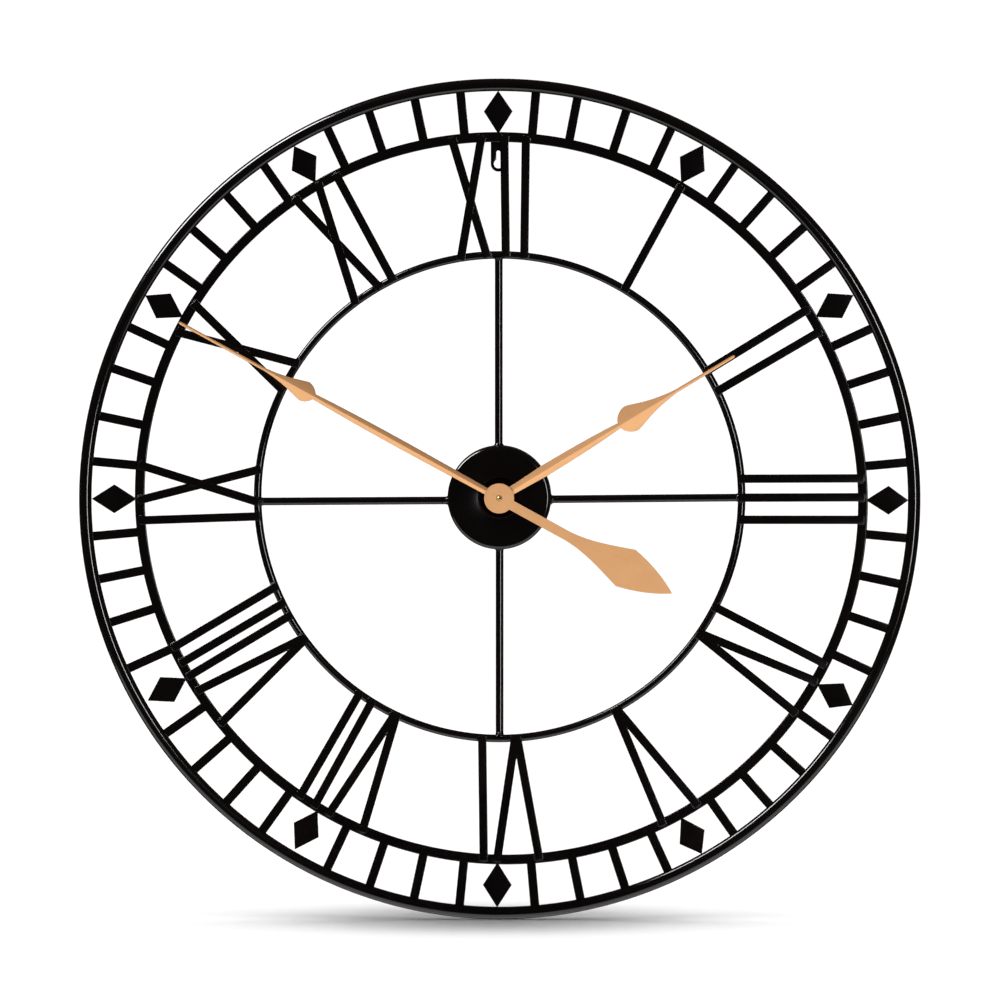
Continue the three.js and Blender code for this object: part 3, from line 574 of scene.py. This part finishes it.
for hour, strokes in NUMERAL_BARS.items():
    rng = random.Random(100 + hour)
    beads = bmesh.new()
    for stroke, bars in strokes.items():
        ends = [
            (
                point_on_ring(hour, out, numeral_end(hour, out), 0),
                point_on_ring(hour, inn, NUMERAL_INNER_END, RISE),
            )
            for out, inn in bars
        ]
        for outer, inner in ends:
            along = (outer - inner).normalized()
            clockwise = Vector((along.y, -along.x))
            edge = clockwise * (BAR_WIDTH / 2 + 0.15)
            # Beside the bar, over the flat of the minute ring.
            start, end = outer + edge, outer + edge - along * 5.6
            height = FLAT_FRONT + 0.35
            weld_bead(
                beads,
                dial(*start, height),
                dial(*end, height),
                rng.uniform(0.75, 1.1),
                rng,
            )
            # Across the bar's outer end.
            half = clockwise * BAR_WIDTH * 0.36
            cap = outer + along * 0.2
            weld_bead(
                beads,
                dial(*(cap - half), FLAT_FRONT + 0.3),
                dial(*(cap + half), FLAT_FRONT + 0.3),
                rng.uniform(0.7, 1.0),
                rng,
            )
            # Beside the bar, over the crown of the inner ring's rod.
            crown = inner + edge + along * 2.2
            weld_bead(
                beads,
                dial(*(crown - along * 2.4), FLAT_FRONT - 0.2),
                dial(*(crown + along * 2.4), FLAT_FRONT - 0.2),
                rng.uniform(0.8, 1.15),
                rng,
            )
        if len(ends) == 2:
            # Where one bar is cut to meet the other, a bead runs along each side of the whole one.
            (a_out, a_in), (b_out, b_in) = ends
            a, b = a_out - a_in, b_out - b_in
            cross = a.x * b.y - a.y * b.x
            t = ((b_in - a_in).x * b.y - (b_in - a_in).y * b.x) / cross
            meet = a_in + a * t
            whole = b.normalized()
            beside = Vector((whole.y, -whole.x))
            spread = BAR_WIDTH / 2 / abs(cross) * a.length * b.length
            sides = (1, -1) if t > 0.12 else (-1,)
            for side in sides:
                middle = meet + beside * side * (BAR_WIDTH / 2 - 0.2)
                shift = whole * (BAR_WIDTH / 2) * (a.dot(b) / cross) * side
                low = middle + shift - whole * spread * 0.75
                high = middle + shift + whole * spread * 0.75
                if t <= 0.12:
                    low, high = high, high + whole * 5
                weld_bead(
                    beads,
                    dial(*low, NUMERAL_FRONT - 0.35),
                    dial(*high, NUMERAL_FRONT - 0.35),
                    0.6,
                    rng,
                )
    piece_from(f"numeral_{hour}_welds", beads, ENAMEL, "frame")

# ---- Hanger plate ------------------------------------------------------------------------------
# A small punched steel plate with a keyhole, welded behind the minute ring at 12. It hangs on
# the head of a screw in the wall.

rounded_copy("hanger_plate", "hanger", ENAMEL, "frame", 0.25, 2, 50)

# ---- Hub cup -----------------------------------------------------------------------------------
# A dish pressed from 1.2 mm sheet, open to the wall, with a rounded rim to its face and a hole
# for the movement's threaded bushing. The spokes are welded to its side.

CUP_WALL = 1.2
CUP_RIM = 0.5
CUP_FACE = 26.0
CUP_EDGE = 4.5
CUP_HOLE = 4.3
CUP_BREAK = 0.3  # the small bevels of the rim and the hole


def arc(centre_radius, centre_depth, radius, start, end, steps):
    """Part of a circle in a turned section, as (radius, depth) points."""
    turns = [math.radians(start + (end - start) * i / steps) for i in range(steps + 1)]
    return [
        (centre_radius + radius * math.cos(a), centre_depth + radius * math.sin(a)) for a in turns
    ]


edge_radius = CUP_RADIUS - CUP_EDGE
shoulder = CUP_FACE - CUP_EDGE
cup_section = [
    (CUP_HOLE, CUP_FACE - CUP_WALL),
    (edge_radius, CUP_FACE - CUP_WALL),
    *arc(edge_radius, shoulder, CUP_EDGE - CUP_WALL, 84, 0, 8),
    (CUP_RADIUS - CUP_WALL, CUP_RIM + CUP_BREAK),
    (CUP_RADIUS - CUP_WALL + CUP_BREAK, CUP_RIM),
    (CUP_RADIUS - CUP_BREAK, CUP_RIM),
    (CUP_RADIUS, CUP_RIM + CUP_BREAK),
    *arc(edge_radius, shoulder, CUP_EDGE, 0, 90, 14),
    (CUP_HOLE + CUP_BREAK, CUP_FACE),
    (CUP_HOLE, CUP_FACE - CUP_BREAK),
]
cup_mesh = bmesh.new()
turn_section(cup_mesh, cup_section, (0, RISE), 192)
crisp(piece_from("cup", cup_mesh, ENAMEL, "frame", ["hub_cup"]), 60)

# ---- Movement ----------------------------------------------------------------------------------
# A standard square quartz movement: a moulded black case with a threaded bushing, its back
# cover with the battery's opening, and the white knob that sets the hands.


def moulded_plastic(name, low, high, roughness, grain):
    material, shader, start = new_finish(name)
    cloud = start.noise(90, 2)
    pits = start.noise(grain, 2)
    paint_onto(
        shader,
        {"Metallic": 0.0, "IOR": 1.46},
        {
            "Base Color": cloud.between(0.35, 0.65).blend(low, high),
            "Roughness": roughness - 0.08 + 0.16 * cloud,
            "Normal": pits.bump(0.00005, 0.7),
        },
    )
    return material


CASE_BLACK = moulded_plastic("case_plastic", (0.012, 0.012, 0.013), (0.02, 0.02, 0.021), 0.5, 2600)
WHEEL_WHITE = moulded_plastic("wheel_plastic", (0.74, 0.72, 0.66), (0.82, 0.8, 0.75), 0.45, 1400)
rounded_copy("movement_case", "case", CASE_BLACK, "frame", 0.35, 2, 50)
rounded_copy("movement_cover", "cover", CASE_BLACK, "frame", 0.3, 2, 50)
rounded_copy("setting_knob", "knob", WHEEL_WHITE, "setting_knob", 0.2, 2, 25)

# ---- Battery and its contacts -------------------------------------------------------------------
# One dry cell in a plain dark sleeve with a copper band, held between two strips of spring steel.


def rolled_metal(name, low, high, roughness, stretch):
    material, shader, start = new_finish(name)
    streaks = start.noise(900, 3, stretch)
    cloud = start.noise(60, 2)
    paint_onto(
        shader,
        {"Metallic": 1.0},
        {
            "Base Color": cloud.between(0.3, 0.7).blend(low, high),
            "Roughness": roughness + 0.14 * streaks,
            "Normal": streaks.bump(0.00002, 0.6),
        },
    )
    return material


COPPER_BAND, METAL_END = 0.0118, 0.0225  # metres right of the middle, where each begins
COLOUR_EDGE = 0.0001


def battery_sleeve():
    material, shader, start = new_finish("battery_wrap")
    place = start.node("ShaderNodeTexCoord", output=3)
    right = start.node("ShaderNodeSeparateXYZ", inputs={0: place})
    end_band = right.between(COPPER_BAND, COPPER_BAND + COLOUR_EDGE)
    cloud = start.noise(120, 2)
    sleeve = cloud.between(0.3, 0.7).blend((0.022, 0.026, 0.032), (0.032, 0.036, 0.042))
    metal_end = right.between(METAL_END, METAL_END + COLOUR_EDGE)
    band = end_band.blend(sleeve, (0.42, 0.22, 0.07))
    paint_onto(
        shader,
        {"IOR": 1.5},
        {
            "Base Color": metal_end.blend(band, (0.6, 0.6, 0.6)),
            "Metallic": end_band * 0.85,
            "Roughness": 0.26 + 0.12 * cloud,
            "Normal": start.noise(700, 2).bump(0.00002, 0.5),
        },
    )
    return material


STEEL = rolled_metal("strip_steel", (0.46, 0.46, 0.47), (0.58, 0.58, 0.59), 0.24, (1, 1, 12))
rounded_copy("battery", "cell", battery_sleeve(), "frame", 0.2, 2, 60)
for node in ("battery_contact_plus", "battery_contact_minus"):
    rounded_copy(node, f"{node}_strip", STEEL, "frame", 0.1, 1, 40)

# ---- Inside the movement ------------------------------------------------------------------------
# Coil, stator, rotor and circuit board, and the moulded wheels. The case hides them.


def finish_node(node, material):
    """Gives a solid from the CAD a finish, and leaves its shape as it is."""
    for slot in frame["nodes"][node].material_slots:
        slot.link = "OBJECT"
        slot.material = material


COPPER = rolled_metal("copper_winding", (0.5, 0.17, 0.06), (0.64, 0.26, 0.1), 0.3, (14, 1, 1))
BOARD = moulded_plastic("circuit_board", (0.016, 0.085, 0.035), (0.024, 0.11, 0.045), 0.4, 500)
RUBBER = moulded_plastic("rubber", (0.013, 0.013, 0.013), (0.02, 0.02, 0.02), 0.8, 1500)
finish_node("coil", COPPER)
finish_node("circuit_board", BOARD)
finish_node("rubber_washer", RUBBER)
for node in ("stator", "rotor"):
    finish_node(node, STEEL)
for node in ("centre_wheel", "minute_wheel", "hour_wheel", "third_wheel", "step_wheel"):
    finish_node(node, WHEEL_WHITE)

# ---- Hub fastening ------------------------------------------------------------------------------
# A brass washer and hexagon nut on the bushing clamp the movement in the cup, and a round brass
# nut on the arbor's tip holds the minute hand.

BRASS = rolled_metal("turned_brass", (0.62, 0.42, 0.16), (0.76, 0.54, 0.24), 0.12, (1, 1, 1))
rounded_copy("brass_washer", "hub_washer", BRASS, "frame", 0.12, 2, 50)
rounded_copy("hex_nut", "hub_nut", BRASS, "frame", 0.35, 3, 40)
finish_node("minute_arbor", BRASS)

NUT_BACK, NUT_FRONT = 37.1, 38.5
NUT_RADIUS, NUT_BORE = 2.8, 1.6
NUT_ROUND = 0.7
nut_section = [
    (NUT_BORE, NUT_BACK),
    (NUT_RADIUS, NUT_BACK),
    *arc(NUT_RADIUS - NUT_ROUND, NUT_FRONT - NUT_ROUND, NUT_ROUND, 0, 90, 6),
    (NUT_BORE + 0.35, NUT_FRONT),
    (NUT_BORE, NUT_FRONT - 0.3),
]
nut_mesh = bmesh.new()
turn_section(nut_mesh, nut_section, (0, RISE), 48)
crisp(piece_from("hand_cap_nut", nut_mesh, BRASS, "minute_hand", ["hand_nut"]), 60)

# ---- Hands --------------------------------------------------------------------------------------
# Both hands are 1 mm aluminium, anodised rose gold over fine brushing. Each blade is folded along
# its middle, and the minute hand's counterweight is flat. The minute hand lies over the hour hand.

HAND_SHEET = 1.0
FOLD = math.tan(math.radians(12))
HOUR_BACK, MINUTE_BACK = 31.2, 36.0
HOUR_ANGLE, MINUTE_ANGLE = 58.8, 298.8
HOUR_BOSS, MINUTE_BOSS = 11.0, 14.4
HOUR_BORE, MINUTE_BORE = 2.65, 1.6
CREASE = 0.22  # half the width of the fold's round crest, and of the edge's bevel
EDGE_ROUND = 0.16
TAIL_CORNER = 0.18
BOSS_ROUND = 0.35
BOSS_FRONT = HAND_SHEET + 0.05


def rose_gold():
    material, shader, start = new_finish("rose_gold_anodised")
    brushing = start.noise(1500, 3, (1, 1, 0.035))
    cloud = start.noise(30, 2)
    fine = start.noise(2600, 2)
    colour = cloud.between(0.3, 0.7).blend((0.78, 0.415, 0.19), (0.83, 0.455, 0.215))
    paint_onto(
        shader,
        {"Metallic": 1.0},
        {
            "Base Color": (brushing.between(0.25, 0.75) * 0.25).blend(colour, (0.68, 0.345, 0.15)),
            "Roughness": 0.34 + 0.12 * brushing,
            "Normal": (brushing + 0.5 * fine).bump(0.00003, 0.5),
        },
    )
    return material


ROSE_GOLD = rose_gold()


def bezier(points, steps):
    """Points along a curve of 2, 3 or 4 control points, without the first."""
    made = []
    degree = len(points) - 1
    for i in range(1, steps + 1):
        t = i / steps
        weights = [
            math.comb(degree, k) * (1 - t) ** (degree - k) * t**k for k in range(degree + 1)
        ]
        made.append(tuple(sum(w * p[axis] for w, p in zip(weights, points)) for axis in (0, 1)))
    return made


def outline_from(start, curves):
    """A half outline as (half width, distance) points: each curve goes on from the last point."""
    points = [start]
    for steps, *control in curves:
        points += bezier([points[-1], *control], steps)
    return points


def folded_blade(mesh, half_outline):
    """A sheet blade folded along its middle, pointing up from the origin, in millimetres."""
    rows = []
    for half, reach in half_outline:
        inside = min(CREASE, half * 0.5)
        edge = max(half - CREASE, inside + 0.01)
        front, back = [], []
        for x in (-half, -edge, -inside, 0, inside, edge, half):
            outermost = abs(x) >= half - 1e-6
            lean = max(abs(x) - inside * 0.5, 0) * FOLD
            soft = EDGE_ROUND if outermost and half > 0.3 else 0
            front.append((x, reach, HAND_SHEET - lean - soft))
            level = HAND_SHEET - abs(x) * FOLD
            back.append((x, reach, level - HAND_SHEET + (EDGE_ROUND if outermost else 0)))
        rows.append([mesh.verts.new(dial(*p)) for p in front + back[::-1]])
    for here, there in zip(rows, rows[1:]):
        count = len(here)
        for i in range(count):
            j = (i + 1) % count
            mesh.faces.new((here[i], here[j], there[j], there[i]))
    mesh.faces.new(rows[0][::-1])
    mesh.faces.new(rows[-1])


def place_hand(piece, angle, back):
    """Turns a hand that was drawn pointing up to its place on the arbor."""
    turn = Matrix.Rotation(math.radians(angle), 4, "Y")
    piece.matrix_world = Matrix.Translation(dial(0, RISE, back)) @ turn
    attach(piece, piece["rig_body"])


MINUTE_BLADE = outline_from(
    (3.4, 12),
    [
        (10, (4.1, 85)),
        (20, (4.5, 140), (3.7, 175), (2.8, 200)),
        (14, (4.2, 200.6), (9.6, 205.2), (9.8, 210.8)),
        (16, (8.8, 216.5), (4.2, 228), (2.2, 246)),
        (2, (1.6, 252)),
        (8, (1.5, 344.5)),
        (4, (1.3, 346.2), (0.25, 346.7)),
    ],
)
HOUR_BLADE = outline_from(
    (3.9, 9),
    [
        (8, (5.6, 49)),
        (16, (5.3, 85), (4.6, 110), (2.7, 133)),
        (16, (6, 133.6), (12.6, 139.2), (13, 146.3)),
        (18, (12.4, 153.5), (4.6, 165), (1.7, 196)),
        (8, (1.5, 258.8)),
        (4, (1.3, 260.5), (0.25, 261)),
    ],
)
TAIL = outline_from(
    (4.7, 12),
    [
        (6, (4.7, 74)),
        (16, (5.6, 95), (11.5, 112), (19.7, 137)),
        (14, (13.5, 166), (0.15, 187)),
    ],
)


def make_hand(name, node, blade, boss_radius, bore, angle, back, tail=None):
    """One hand, with its blade, round boss and tail, as one piece."""
    mesh = bmesh.new()
    folded_blade(mesh, blade)
    if tail:
        left = [(-half, -reach) for half, reach in tail]
        right = [(half, -reach) for half, reach in reversed(tail)]
        flat_plate(mesh, left + right, 0, HAND_SHEET, TAIL_CORNER, 2)
    section = [
        (bore, 0.0),
        (boss_radius - 0.2, 0.0),
        (boss_radius, 0.2),
        *arc(boss_radius - BOSS_ROUND, BOSS_FRONT - BOSS_ROUND, BOSS_ROUND, 0, 90, 4),
        (bore, BOSS_FRONT),
    ]
    turn_section(mesh, section, (0, 0), 128)
    hand = piece_from(name, mesh, ROSE_GOLD, node, [node])
    place_hand(hand, angle, back)
    crisp(hand, 8)


make_hand(
    "hour_hand_blade", "hour_hand", HOUR_BLADE, HOUR_BOSS, HOUR_BORE, HOUR_ANGLE, HOUR_BACK
)
make_hand(
    "minute_hand_blade",
    "minute_hand",
    MINUTE_BLADE,
    MINUTE_BOSS,
    MINUTE_BORE,
    MINUTE_ANGLE,
    MINUTE_BACK,
    TAIL,
)

# ---- Floor, light and camera ---------------------------------------------------------------------
# A plain white studio: a pale floor with a soft shadow, soft light from above, a narrow strip
# light at the right, and softboxes at the upper left and below.


def plain_white():
    material, shader, start = new_finish("studio_white")
    cloud = start.noise(3, 2)
    paint_onto(
        shader,
        {"Specular IOR Level": 0.0},
        {
            "Base Color": cloud.blend((0.93, 0.93, 0.93), (0.95, 0.95, 0.95)),
            "Roughness": 0.8 + 0.1 * cloud,
        },
    )
    return material


FLOOR_HEIGHT = -0.4


def studio_surface(name, outline, height, finish, seen=True):
    """A level surface of the studio, which the clock doesn't mirror."""
    mesh = bmesh.new()
    mesh.faces.new([mesh.verts.new((x, y, height)) for x, y in outline])
    data = bpy.data.meshes.new(name)
    mesh.to_mesh(data)
    mesh.free()
    data.materials.append(finish)
    surface = bpy.data.objects.new(name, data)
    bpy.context.scene.collection.objects.link(surface)
    surface.visible_camera = seen
    surface.visible_glossy = False


STUDIO_WHITE = plain_white()
floor_corners = [(-30, -0.25), (30, -0.25), (30, 40), (-30, 40)]
studio_surface("floor", floor_corners, FLOOR_HEIGHT, STUDIO_WHITE)

# A low board, which the camera doesn't see, deepens the soft shadow under the clock.
SHADOW_HALF_WIDTH, SHADOW_HALF_DEPTH = 0.17, 0.18
SHADOW_SHIFT = -0.01
SHADOW_RISE = 0.12
board_turns = [2 * math.pi * i / 48 for i in range(48)]
board_rim = [
    (SHADOW_HALF_WIDTH * math.cos(a) + SHADOW_SHIFT, SHADOW_HALF_DEPTH * math.sin(a))
    for a in board_turns
]
studio_surface("shadow_board", board_rim, FLOOR_HEIGHT + SHADOW_RISE, STUDIO_WHITE, seen=False)


def aim(thing, target):
    thing.rotation_mode = "QUATERNION"
    thing.rotation_quaternion = (Vector(target) - thing.location).to_track_quat("-Z", "Y")


def softbox(name, place, target, width, height, power):
    """A soft rectangle of light that shows only as a reflection in the clock."""
    data = bpy.data.lights.new(name, "AREA")
    data.shape = "RECTANGLE"
    data.size, data.size_y = width, height
    data.energy = power
    lamp = bpy.data.objects.new(name, data)
    lamp.location = place
    aim(lamp, target)
    lamp.visible_camera = False
    lamp.visible_diffuse = False
    bpy.context.scene.collection.objects.link(lamp)
    return lamp


sky = bpy.data.lights.new("overhead", "SUN")
sky.energy = 3.6
sky.angle = math.radians(100)
overhead = bpy.data.objects.new("overhead", sky)
overhead.visible_glossy = False
bpy.context.scene.collection.objects.link(overhead)

strip = softbox("strip_right", (2.1, -3.6, 0.35), (0, 0, 0.35), 0.45, 1.9, 80)
bounce = softbox("bounce", (0, -0.3, -0.95), (0, -0.3, 0), 4.0, 1.2, 25)
edge_light = softbox("box_left", (-1.5, -0.25, 1.7), (0, 0, 0), 0.7, 1.3, 90)

# Two wide softboxes in front and one behind light the hands alone, brighter from below, and the
# other softboxes light everything but the hands.
HAND_BOX_HEIGHT = 2.6
HAND_PIECES = ("hour_hand_blade", "minute_hand_blade", "hand_cap_nut")
hands = bpy.data.collections.new("hands_only")
steel = bpy.data.collections.new("all_but_hands")
for thing in list(bpy.context.scene.objects):
    if thing.type == "MESH":
        (hands if thing.name in HAND_PIECES else steel).objects.link(thing)
for lamp in (strip, bounce, edge_light):
    lamp.light_linking.receiver_collection = steel
for name, place, target, width, power in (
    ("hands_low", (0.3, -3.2, -1.5), (0.3, 0, -0.9), 5.0, 64),
    ("hands_high", (-1.25, -3.2, 1.5), (-1.25, 0, 0.9), 3.0, 24),
    ("hands_rear", (0.3, 3.2, 0.4), (0.3, 0, 0), 5.0, 45),
):
    box = softbox(name, place, target, width, HAND_BOX_HEIGHT, power)
    box.light_linking.receiver_collection = hands

# What the clock mirrors of the room is dark, and what the camera sees behind it is white.
ROOM_COLOUR, BACKING_COLOUR = (0.05, 0.045, 0.043), (1.05, 1.05, 1.05)
world = bpy.data.worlds.new("studio")
world.use_nodes = True
bpy.context.scene.world = world
backing = Value(world.node_tree)
ray = backing.node("ShaderNodeLightPath", output=0)
around = world.node_tree.nodes["Background"]
around.inputs["Strength"].default_value = 1.0
shade = ray.blend(ROOM_COLOUR, BACKING_COLOUR)
world.node_tree.links.new(shade.socket, around.inputs["Color"])

CAMERA_DISTANCE = 12.0
CAMERA_SIDE, CAMERA_HEIGHT = math.radians(0.8), math.radians(2.5)
CAMERA_LENS = 454.2
CAMERA_TARGET = (0.0004, -0.006, -0.00047)
camera_data = bpy.data.cameras.new("camera")
camera_data.lens = CAMERA_LENS
camera = bpy.data.objects.new("camera", camera_data)
bpy.context.scene.collection.objects.link(camera)
camera.location = CAMERA_DISTANCE * Vector(
    (
        math.sin(CAMERA_SIDE) * math.cos(CAMERA_HEIGHT),
        -math.cos(CAMERA_SIDE) * math.cos(CAMERA_HEIGHT),
        math.sin(CAMERA_HEIGHT),
    )
)
aim(camera, CAMERA_TARGET)
bpy.context.scene.camera = camera
bpy.context.scene.view_settings.view_transform = "Standard"
